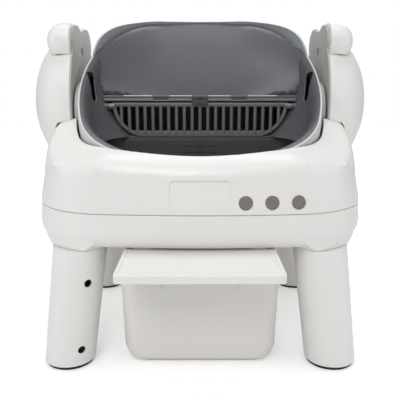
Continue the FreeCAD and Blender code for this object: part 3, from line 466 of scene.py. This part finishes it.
def archPanel(work):
    # the panel's upper edge follows the hood's rim, and slides on the hood's round inside
    look = panelArch
    y0, z0 = drumAxis()
    for vert in work.verts:
        y, z = vert.co.y - y0, vert.co.z - z0
        away = math.hypot(y, z)
        high = smoothStep((away - look["foot"]) / (look["top"] - look["foot"]))
        side = smoothStep(1 - (look["x"] - min(abs(vert.co.x), look["x"])) / look["inner"])
        turn = math.atan2(z, y) + math.radians(look["middle"] + look["corner"] * side) * high
        vert.co.y, vert.co.z = y0 + away * math.cos(turn), z0 + away * math.sin(turn)
    easeHood(work)


earRounding = {"cell": 0.006, "passes": 5, "pull": 0.5, "rounds": 22, "seat": 0.020}


def roundEars(work):
    # the caps' broad faces are crowned, not flat, and stay put where they sit on the arm
    look = earRounding
    divideLong(work, look["cell"], look["passes"])
    seat = min(abs(vert.co.x) for vert in work.verts)
    weights = {vert: look["pull"] * smoothStep((abs(vert.co.x) - seat) / look["seat"])
               for vert in work.verts}
    relax(weights, look["rounds"])


# carried-over shells: a merged copy of each moulded part, with its hard edges kept

shellEdges = {"sharpTurn": 32.0, "merge": 2e-6}


def smoothCopy(node, material, name, reshape=None):
    source = frame["nodes"][node]
    mesh = source.data.copy()
    mesh.name = name
    work = bmesh.new()
    work.from_mesh(mesh)
    bmesh.ops.remove_doubles(work, verts=work.verts, dist=shellEdges["merge"])
    if reshape:
        reshape(work)
    limit = math.radians(shellEdges["sharpTurn"])
    for face in work.faces:
        face.smooth = True
    for edge in work.edges:
        edge.smooth = len(edge.link_faces) == 2 and edge.calc_face_angle(0.0) < limit
    work.to_mesh(mesh)
    work.free()
    if "custom_normal" in mesh.attributes:
        mesh.attributes.remove(mesh.attributes["custom_normal"])
    mesh.materials.clear()
    mesh.materials.append(material)
    piece = bpy.data.objects.new(name, mesh)
    bpy.context.scene.collection.objects.link(piece)
    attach(piece, source["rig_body"])
    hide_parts(node)
    return piece


shellPaint = {
    "lower_housing": "housingWhite", "upper_housing": "housingWhite", "chute_collar": "collarWhite",
    "step_plate": "stepWhite", "step_brackets": "stepWhite", "waste_bin": "binWhite",
    "arm_cover_right": "armWhite", "arm_cover_left": "armWhite",
    "ear_caps_right": "earWhite", "ear_caps_left": "earWhite",
    "pivot_plate_right": "armTaupe", "pivot_plate_left": "armTaupe",
    "sensor_window_right": "sensorBlack", "sensor_window_left": "sensorBlack",
    "pivot_bush_right": "gearWhite", "pivot_bush_left": "gearWhite",
    "drum_hub_right": "hubGrey", "drum_hub_left": "hubGrey", "shaft_clips": "plainSteel",
    "drum_gear": "gearWhite", "motor_pinion": "gearWhite", "gearmotor": "plainSteel",
    "motor_bracket": "plainSteel",
    "drum_shell": "shellWhite", "hood_cover": "hoodSlate", "hood_panel": "panelCharcoal",
    "inner_bowl": "bowlCharcoal", "basin_liner": "linerBlack", "hinge_bar": "barCharcoal",
    "sieve_grille": "grilleCharcoal", "sieve_latch": "latchGrey",
    "button_left": "buttonTaupe", "button_middle": "buttonTaupe", "button_right": "buttonTaupe",
    "button_board": "boardGreen", "main_board": "boardGreen", "board_posts": "postBrass",
    "leg_bolts": "plainSteel", "power_socket": "switchBlack",
}
for corner in ("front_left", "front_right", "rear_right", "rear_left"):
    shellPaint["leg_" + corner] = "legWhite"
    shellPaint["foot_pad_" + corner] = "footRubber"
reshapes = {"upper_housing": softenCrease, "hood_cover": easeHood, "hood_panel": archPanel,
            "ear_caps_right": roundEars, "ear_caps_left": roundEars}


def pieceName(node):
    first, *rest = node.split("_")
    return first + "".join(word.capitalize() for word in rest)


shells = {}
for node, finish in shellPaint.items():
    shells[node] = smoothCopy(node, paint[finish], pieceName(node), reshape=reshapes.get(node))


storeShadeTop = 0.47


def paintStoreShade():
    # the hood's inside is slate at the rim; its inner faces in the closed store behind the panel get the
    # bowl's charcoal as painted shade
    mesh = shells["hood_cover"].data
    mesh.materials.append(paint["bowlCharcoal"])
    y0, z0 = drumAxis()
    for face in mesh.polygons:
        out = Vector((0, face.center.y - y0, face.center.z - z0))
        if face.normal.dot(out) < 0 and face.center.z < storeShadeTop:
            face.material_index = 1


paintStoreShade()
print("stage: shells,", len(shells))


# repeated details, each from a node tree with named inputs

def newTree(name, sizes):
    tree = bpy.data.node_groups.new(name, "GeometryNodeTree")
    tree.interface.new_socket("Geometry", in_out="INPUT", socket_type="NodeSocketGeometry")
    for label, kind in sizes:
        tree.interface.new_socket(label, in_out="INPUT", socket_type="NodeSocket" + kind)
    tree.interface.new_socket("Geometry", in_out="OUTPUT", socket_type="NodeSocketGeometry")
    return tree, tree.nodes.new("NodeGroupInput"), tree.nodes.new("NodeGroupOutput")


def addNode(tree, kind, values=None, **settings):
    node = tree.nodes.new(kind)
    for key, value in settings.items():
        setattr(node, key, value)
    for key, value in (values or {}).items():
        node.inputs[key].default_value = value
    return node


def setOnPoints(tree, source, output, shape, material, longSide=None):
    # the shape stands on every point: stretched along one side by the point's run, or turned to its facing
    link = tree.links.new
    points = addNode(tree, "GeometryNodeMeshToPoints")
    link(source.outputs["Geometry"], points.inputs["Mesh"])
    place = addNode(tree, "GeometryNodeInstanceOnPoints")
    link(points.outputs["Points"], place.inputs["Points"])
    link(shape, place.inputs["Instance"])
    if longSide:
        run = addNode(tree, "GeometryNodeInputNamedAttribute", {"Name": "run"}, data_type="FLOAT")
        scale = addNode(tree, "ShaderNodeCombineXYZ", {side: 1.0 for side in "XYZ" if side != longSide})
        link(run.outputs["Attribute"], scale.inputs[longSide])
        link(scale.outputs["Vector"], place.inputs["Scale"])
    else:
        facing = addNode(tree, "GeometryNodeInputNamedAttribute", {"Name": "facing"},
                         data_type="FLOAT_VECTOR")
        turn = addNode(tree, "FunctionNodeAlignRotationToVector", axis="Z")
        link(facing.outputs["Attribute"], turn.inputs["Vector"])
        link(turn.outputs["Rotation"], place.inputs["Rotation"])
    real = addNode(tree, "GeometryNodeRealizeInstances")
    finish = addNode(tree, "GeometryNodeSetMaterial")
    finish.inputs["Material"].default_value = material
    link(place.outputs["Instances"], real.inputs["Geometry"])
    link(real.outputs["Geometry"], finish.inputs["Geometry"])
    link(finish.outputs["Geometry"], output.inputs["Geometry"])


def growDetail(name, tree, points, values, body, directions=None, lengths=None):
    # one plain mesh per body: the tree runs on loose points, and its result is kept
    mesh = bpy.data.meshes.new(name + "Points")
    mesh.from_pydata([tuple(point) for point in points], [], [])
    if directions:
        field = mesh.attributes.new("facing", "FLOAT_VECTOR", "POINT")
        for row, facing in zip(field.data, directions):
            row.vector = facing
    if lengths:
        field = mesh.attributes.new("run", "FLOAT", "POINT")
        for row, run in zip(field.data, lengths):
            row.value = run
    seedObject = bpy.data.objects.new(name + "Points", mesh)
    bpy.context.scene.collection.objects.link(seedObject)
    modifier = seedObject.modifiers.new("detail", "NODES")
    modifier.node_group = tree
    idOf = {item.name: item.identifier for item in tree.interface.items_tree if item.in_out == "INPUT"}
    for label, value in values.items():
        modifier[idOf[label]] = value
    bpy.context.view_layer.update()
    graph = bpy.context.evaluated_depsgraph_get()
    grown = bpy.data.meshes.new_from_object(seedObject.evaluated_get(graph))
    seedObject.modifiers.remove(modifier)
    bpy.data.objects.remove(seedObject)
    grown.name = name
    for attribute in ("facing", "run"):
        if attribute in grown.attributes:
            grown.attributes.remove(grown.attributes[attribute])
    piece = bpy.data.objects.new(name, grown)
    bpy.context.scene.collection.objects.link(piece)
    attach(piece, body)


def surfaceOf(node):
    # the rest-pose surface of one moulded part, to lay details on
    work = bmesh.new()
    work.from_mesh(shells[node].data)
    tree = BVHTree.FromBMesh(work)
    work.free()
    return tree


def bodyOf(node):
    return frame["nodes"][node]["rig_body"]


# the grille's bars: a crowned rib runs down each one and over the lower border

grilleRibs = {"pitch": 0.0155, "count": 22, "width": 0.0046, "height": 0.0016, "top": 0.4105, "over": 0.0004,
              "probe": 0.385, "under": 0.25, "inside": 0.0012, "sink": 0.0002}


def grilleRibTree(material):
    tree, source, output = newTree("grilleRibs", [("Rib Width", "Float"), ("Rib Height", "Float")])
    link = tree.links.new
    circle = addNode(tree, "GeometryNodeCurvePrimitiveCircle", {"Resolution": 14, "Radius": 0.5})
    flat = addNode(tree, "GeometryNodeTransform")
    size = addNode(tree, "ShaderNodeCombineXYZ", {"Z": 1.0})
    double = addNode(tree, "ShaderNodeMath", {1: 2.0}, operation="MULTIPLY")
    link(source.outputs["Rib Height"], double.inputs[0])
    link(source.outputs["Rib Width"], size.inputs["X"])
    link(double.outputs[0], size.inputs["Y"])
    link(circle.outputs["Curve"], flat.inputs["Geometry"])
    link(size.outputs["Vector"], flat.inputs["Scale"])
    run = addNode(tree, "GeometryNodeCurvePrimitiveLine", {"Start": (0, 0, 0), "End": (0, 0, -1)})
    parts = addNode(tree, "GeometryNodeResampleCurve", {"Count": 6})
    link(run.outputs["Curve"], parts.inputs["Curve"])
    sweep = addNode(tree, "GeometryNodeCurveToMesh", {"Fill Caps": True})
    link(parts.outputs["Curve"], sweep.inputs["Curve"])
    link(flat.outputs["Geometry"], sweep.inputs["Profile Curve"])
    setOnPoints(tree, source, output, sweep.outputs["Mesh"], material, longSide="Z")
    return tree


def makeGrilleRibs():
    look = grilleRibs
    face = surfaceOf("sieve_grille")
    points, lengths = [], []
    for i in range(look["count"] - 1):
        x = (i - (look["count"] - 2) / 2) * look["pitch"]
        front = face.ray_cast(Vector((x, 0, look["probe"])), Vector((0, 1, 0)))[0]
        if front is None:
            continue
        low = Vector((x, front.y + look["inside"], look["under"]))
        below = face.ray_cast(low, Vector((0, 0, 1)))[0]
        if below is None:
            continue
        bottom = below.z - look["over"]
        points.append((x, front.y + look["sink"], look["top"]))
        lengths.append(look["top"] - bottom)
    tree = grilleRibTree(paint["grilleCharcoal"])
    values = {"Rib Width": look["width"], "Rib Height": look["height"]}
    growDetail("grilleRibs", tree, points, values, bodyOf("sieve_grille"),
               lengths=lengths)
    print("stage: grille ribs,", len(points))


# a lighter grey bead along the top of the hinge bar, as painted highlight for the glare on its rounded edge,
# broken by its slots and the latch

barBead = {"runs": ((-0.150, -0.094), (-0.060, -0.0165), (0.0165, 0.060), (0.094, 0.150)),
           "radius": 0.0013, "y": 0.0806, "below": 0.0010}


def highlightBeadTree(material):
    tree, source, output = newTree("barBead", [("Bead Radius", "Float")])
    link = tree.links.new
    section = addNode(tree, "GeometryNodeCurvePrimitiveCircle", {"Resolution": 12})
    link(source.outputs["Bead Radius"], section.inputs["Radius"])
    run = addNode(tree, "GeometryNodeCurvePrimitiveLine", {"Start": (0, 0, 0), "End": (1, 0, 0)})
    sweep = addNode(tree, "GeometryNodeCurveToMesh", {"Fill Caps": True})
    link(run.outputs["Curve"], sweep.inputs["Curve"])
    link(section.outputs["Curve"], sweep.inputs["Profile Curve"])
    setOnPoints(tree, source, output, sweep.outputs["Mesh"], material, longSide="X")
    return tree


def makeBarHighlight():
    look = barBead
    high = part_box("hinge_bar")[1]
    y, z = look["y"], high[2] - look["below"]
    points = [(start, y, z) for start, end in look["runs"]]
    lengths = [end - start for start, end in look["runs"]]
    growDetail("barBead", highlightBeadTree(paint["highlightGrey"]), points, {"Bead Radius": look["radius"]},
               bodyOf("hinge_bar"), lengths=lengths)
    print("stage: bar bead,", len(points))


# round the buttons: a fine raised ring moulded on the housing

buttonRings = {"radius": 0.01125, "thick": 0.00055, "probes": 12, "probeReach": 1.12, "before": -0.6}


def ringTree(material):
    tree, source, output = newTree("buttonRings", [("Ring Radius", "Float"), ("Ring Thickness", "Float")])
    link = tree.links.new
    circle = addNode(tree, "GeometryNodeCurvePrimitiveCircle", {"Resolution": 72})
    section = addNode(tree, "GeometryNodeCurvePrimitiveCircle", {"Resolution": 10})
    sweep = addNode(tree, "GeometryNodeCurveToMesh")
    link(source.outputs["Ring Radius"], circle.inputs["Radius"])
    link(source.outputs["Ring Thickness"], section.inputs["Radius"])
    link(circle.outputs["Curve"], sweep.inputs["Curve"])
    link(section.outputs["Curve"], sweep.inputs["Profile Curve"])
    setOnPoints(tree, source, output, sweep.outputs["Mesh"], material)
    return tree


def makeButtonRings():
    look = buttonRings
    wall = surfaceOf("upper_housing")
    points, facings = [], []
    for node in ("button_left", "button_middle", "button_right"):
        low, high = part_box(node)
        x, z = (low[0] + high[0]) / 2, (low[2] + high[2]) / 2
        hits = []
        for turn in range(look["probes"]):
            angle = math.radians(turn * 360 / look["probes"])
            reach = look["radius"] * look["probeReach"]
            start = Vector((x + reach * math.cos(angle), look["before"], z + reach * math.sin(angle)))
            hit, normal = wall.ray_cast(start, Vector((0, 1, 0)))[:2]
            if hit is not None:
                hits.append((hit, normal))
        centre = sum((hit for hit, normal in hits), Vector()) / len(hits)
        facing = sum((normal for hit, normal in hits), Vector()).normalized()
        points.append(centre)
        facings.append(facing)
    tree = ringTree(paint["housingWhite"])
    values = {"Ring Radius": look["radius"], "Ring Thickness": look["thick"]}
    growDetail("buttonRings", tree, points, values, bodyOf("upper_housing"),
               directions=facings)
    print("stage: button rings,", len(points))


# screws that close the two housing mouldings from below

baseScrews = {"radius": 0.0038, "height": 0.0018, "inset": 0.052, "each": 3, "pitch": 0.062,
              "rearX": 0.09, "under": 0.05, "level": -0.8, "proud": 0.0004}


def screwTree(material):
    tree, source, output = newTree("baseScrews", [("Head Radius", "Float"), ("Head Height", "Float")])
    link = tree.links.new
    head = addNode(tree, "GeometryNodeMeshCylinder", {"Vertices": 24, "Side Segments": 2})
    link(source.outputs["Head Radius"], head.inputs["Radius"])
    link(source.outputs["Head Height"], head.inputs["Depth"])
    half = addNode(tree, "ShaderNodeMath", {1: 0.36}, operation="MULTIPLY")
    link(source.outputs["Head Radius"], half.inputs[0])
    wide = addNode(tree, "ShaderNodeMath", {1: 1.25}, operation="MULTIPLY")
    link(source.outputs["Head Radius"], wide.inputs[0])
    blades = []
    for order in ((wide, half), (half, wide)):
        size = addNode(tree, "ShaderNodeCombineXYZ")
        link(order[0].outputs[0], size.inputs["X"])
        link(order[1].outputs[0], size.inputs["Y"])
        link(source.outputs["Head Height"], size.inputs["Z"])
        blade = addNode(tree, "GeometryNodeMeshCube")
        link(size.outputs["Vector"], blade.inputs["Size"])
        lift = addNode(tree, "GeometryNodeTransform")
        up = addNode(tree, "ShaderNodeCombineXYZ")
        link(half.outputs[0], up.inputs["Z"])
        link(blade.outputs["Mesh"], lift.inputs["Geometry"])
        link(up.outputs["Vector"], lift.inputs["Translation"])
        blades.append(lift)
    cut = addNode(tree, "GeometryNodeMeshBoolean", operation="DIFFERENCE")
    link(head.outputs["Mesh"], cut.inputs["Mesh 1"])
    for blade in blades:
        link(blade.outputs["Geometry"], cut.inputs["Mesh 2"])
    setOnPoints(tree, source, output, cut.outputs["Mesh"], material)
    return tree


def makeBaseScrews():
    look = baseScrews
    floorSide = surfaceOf("lower_housing")
    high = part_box("lower_housing")[1]
    side, rear = high[0] - look["inset"], high[1] - look["inset"]
    spots = [(x, i * look["pitch"]) for x in (-side, side) for i in range(look["each"])]
    spots += [(-look["rearX"], rear), (look["rearX"], rear)]
    points, facings = [], []
    for x, y in spots:
        hit, normal = floorSide.ray_cast(Vector((x, y, look["under"])), Vector((0, 0, 1)))[:2]
        if hit is not None and normal.z < look["level"]:
            points.append(hit + normal * look["proud"])
            facings.append(normal)
    tree = screwTree(paint["plainSteel"])
    values = {"Head Radius": look["radius"], "Head Height": look["height"]}
    growDetail("baseScrews", tree, points, values, bodyOf("lower_housing"),
               directions=facings)
    print("stage: base screws,", len(points))


# filling marks on the basin's rear wall

levelMarks = {"rows": (("MAX", 0.3325), ("MIN", 0.3200)), "size": 0.0095, "line": 0.022, "gap": 0.0125,
              "thick": 0.0003, "bar": 0.0013}


def makeLevelMarks():
    look = levelMarks
    wall = surfaceOf("basin_liner")
    work = bmesh.new()
    for word, z in look["rows"]:
        curve = bpy.data.curves.new("levelWord", "FONT")
        curve.body = word
        curve.size = look["size"]
        curve.align_x = "CENTER"
        curve.align_y = "CENTER"
        text = bpy.data.objects.new("levelWord", curve)
        bpy.context.scene.collection.objects.link(text)
        bpy.context.view_layer.update()
        graph = bpy.context.evaluated_depsgraph_get()
        flat = bpy.data.meshes.new_from_object(text.evaluated_get(graph))
        bpy.data.objects.remove(text)
        start = len(work.verts)
        work.from_mesh(flat)
        bpy.data.meshes.remove(flat)
        work.verts.ensure_lookup_table()
        for vert in work.verts[start:]:
            vert.co.y += z
        for side in (-1, 1):
            inner, outer = side * look["gap"], side * (look["gap"] + look["line"])
            corners = [(inner, z - look["bar"] / 2), (outer, z - look["bar"] / 2),
                       (outer, z + look["bar"] / 2), (inner, z + look["bar"] / 2)]
            if side < 0:
                corners.reverse()
            work.faces.new([work.verts.new((x, up, 0)) for x, up in corners])
    for vert in work.verts:
        x, z = vert.co.x, vert.co.y
        hit = wall.ray_cast(Vector((x, 0.0, z)), Vector((0, 1, 0)))[0]
        y = hit.y - look["thick"] / 2 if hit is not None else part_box("basin_liner")[1][1]
        vert.co = (x, y, z)
    bmesh.ops.recalc_face_normals(work, faces=work.faces)
    thick = bmesh.ops.extrude_face_region(work, geom=list(work.faces))
    for item in thick["geom"]:
        if isinstance(item, bmesh.types.BMVert):
            item.co.y -= look["thick"]
    bmesh.ops.recalc_face_normals(work, faces=work.faces)
    mesh = bpy.data.meshes.new("levelMarks")
    work.to_mesh(mesh)
    work.free()
    mesh.materials.append(paint["markBlack"])
    piece = bpy.data.objects.new("levelMarks", mesh)
    bpy.context.scene.collection.objects.link(piece)
    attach(piece, bodyOf("basin_liner"))
    print("stage: level marks")


makeGrilleRibs()
makeBarHighlight()
makeButtonRings()
makeBaseScrews()
makeLevelMarks()


# floor, lamps and camera

# each lamp: place, target, size, power
room = {"floorSize": 9.0, "floorColour": (0.90, 0.90, 0.90), "floorRough": 0.6,
        "liftNear": 0.30, "liftFar": 0.80, "fadeFrom": 0.35, "fadeTo": 1.3,
        "skyTop": 0.56, "skyLow": 0.34, "skyFrom": -0.3, "skyTo": 1.0,
        "lamps": {"softTop": ((0.0, 0.15, 2.0), (0, 0.15, 0.35), (1.3, 0.5), 9.0),
                  "softFront": ((-0.4, -1.9, 2.0), (0, 0, 0.3), (1.2, 1.2), 22.0),
                  "softBack": ((0.5, 2.3, 1.5), (0, 0.1, 0.3), (2.0, 1.6), 17.0),
                  "sideLeft": ((-2.3, -0.7, 0.9), (0, 0.1, 0.35), (2.0, 2.0), 8.0),
                  "sideRight": ((2.3, -0.7, 0.9), (0, 0.1, 0.35), (2.0, 2.0), 8.0)}}


def makeFloor():
    # the camera sees the floor lifted towards white, more so away from the box; the box sees it plain
    half = room["floorSize"] / 2
    mesh = bpy.data.meshes.new("studioFloor")
    corners = [(-half, -half, 0), (half, -half, 0), (half, half, 0), (-half, half, 0)]
    mesh.from_pydata(corners, [], [(0, 1, 2, 3)])
    material, tree, shader = newMaterial("studioFloor")
    shader.inputs["Base Color"].default_value = (*room["floorColour"], 1)
    shader.inputs["Roughness"].default_value = room["floorRough"]
    lift = tree.nodes.new("ShaderNodeEmission")
    place = tree.nodes.new("ShaderNodeTexCoord")
    away = tree.nodes.new("ShaderNodeVectorMath")
    away.operation = "LENGTH"
    reach = tree.nodes.new("ShaderNodeMapRange")
    reach.interpolation_type = "SMOOTHSTEP"
    reach.inputs["From Min"].default_value = room["fadeFrom"]
    reach.inputs["From Max"].default_value = room["fadeTo"]
    reach.inputs["To Min"].default_value = room["liftNear"]
    reach.inputs["To Max"].default_value = room["liftFar"]
    tree.links.new(place.outputs["Object"], away.inputs[0])
    tree.links.new(away.outputs["Value"], reach.inputs["Value"])
    tree.links.new(reach.outputs["Result"], lift.inputs["Strength"])
    lifted = tree.nodes.new("ShaderNodeAddShader")
    rays = tree.nodes.new("ShaderNodeLightPath")
    mix = tree.nodes.new("ShaderNodeMixShader")
    tree.links.new(shader.outputs["BSDF"], lifted.inputs[0])
    tree.links.new(lift.outputs["Emission"], lifted.inputs[1])
    tree.links.new(rays.outputs["Is Camera Ray"], mix.inputs["Fac"])
    tree.links.new(shader.outputs["BSDF"], mix.inputs[1])
    tree.links.new(lifted.outputs["Shader"], mix.inputs[2])
    tree.links.new(mix.outputs["Shader"], tree.nodes["Material Output"].inputs["Surface"])
    mesh.materials.append(material)
    floor = bpy.data.objects.new("studioFloor", mesh)
    bpy.context.scene.collection.objects.link(floor)


def makeWorld():
    # the lamps' soft surroundings light from above more than from below; the camera sees plain white
    world = bpy.data.worlds.new("studioWorld")
    bpy.context.scene.world = world
    world.use_nodes = True
    tree = world.node_tree
    link = tree.links.new
    place = tree.nodes.new("ShaderNodeTexCoord")
    split = tree.nodes.new("ShaderNodeSeparateXYZ")
    level = tree.nodes.new("ShaderNodeMapRange")
    level.inputs["From Min"].default_value = room["skyFrom"]
    level.inputs["From Max"].default_value = room["skyTo"]
    level.inputs["To Min"].default_value = room["skyLow"]
    level.inputs["To Max"].default_value = room["skyTop"]
    link(place.outputs["Generated"], split.inputs["Vector"])
    link(split.outputs["Z"], level.inputs["Value"])
    light = tree.nodes["Background"]
    light.inputs["Color"].default_value = (1, 1, 1, 1)
    link(level.outputs["Result"], light.inputs["Strength"])
    white = tree.nodes.new("ShaderNodeBackground")
    white.inputs["Color"].default_value = (1, 1, 1, 1)
    white.inputs["Strength"].default_value = 1.0
    rays = tree.nodes.new("ShaderNodeLightPath")
    mix = tree.nodes.new("ShaderNodeMixShader")
    link(rays.outputs["Is Camera Ray"], mix.inputs["Fac"])
    link(light.outputs["Background"], mix.inputs[1])
    link(white.outputs["Background"], mix.inputs[2])
    link(mix.outputs["Shader"], tree.nodes["World Output"].inputs["Surface"])


def areaLamp(name, place, target, size, power):
    data = bpy.data.lights.new(name, "AREA")
    data.shape = "RECTANGLE"
    data.size, data.size_y = size
    data.energy = power
    lamp = bpy.data.objects.new(name, data)
    lamp.location = place
    lamp.rotation_euler = (Vector(target) - Vector(place)).to_track_quat("-Z", "Y").to_euler()
    bpy.context.scene.collection.objects.link(lamp)


cameraSet = {"place": (0.0, -0.972, 0.452), "tilt": 12.33, "lens": 47.34, "sensor": 36.0}


def makeCamera():
    data = bpy.data.cameras.new("photoCamera")
    data.lens = cameraSet["lens"]
    data.sensor_width = cameraSet["sensor"]
    camera = bpy.data.objects.new("photoCamera", data)
    camera.location = cameraSet["place"]
    camera.rotation_euler = (math.radians(90.0 - cameraSet["tilt"]), 0, 0)
    bpy.context.scene.collection.objects.link(camera)
    bpy.context.scene.camera = camera


makeFloor()
makeWorld()
for name, setting in room["lamps"].items():
    areaLamp(name, *setting)
makeCamera()
bpy.context.scene.view_settings.view_transform = "Standard"
print("stage: studio")
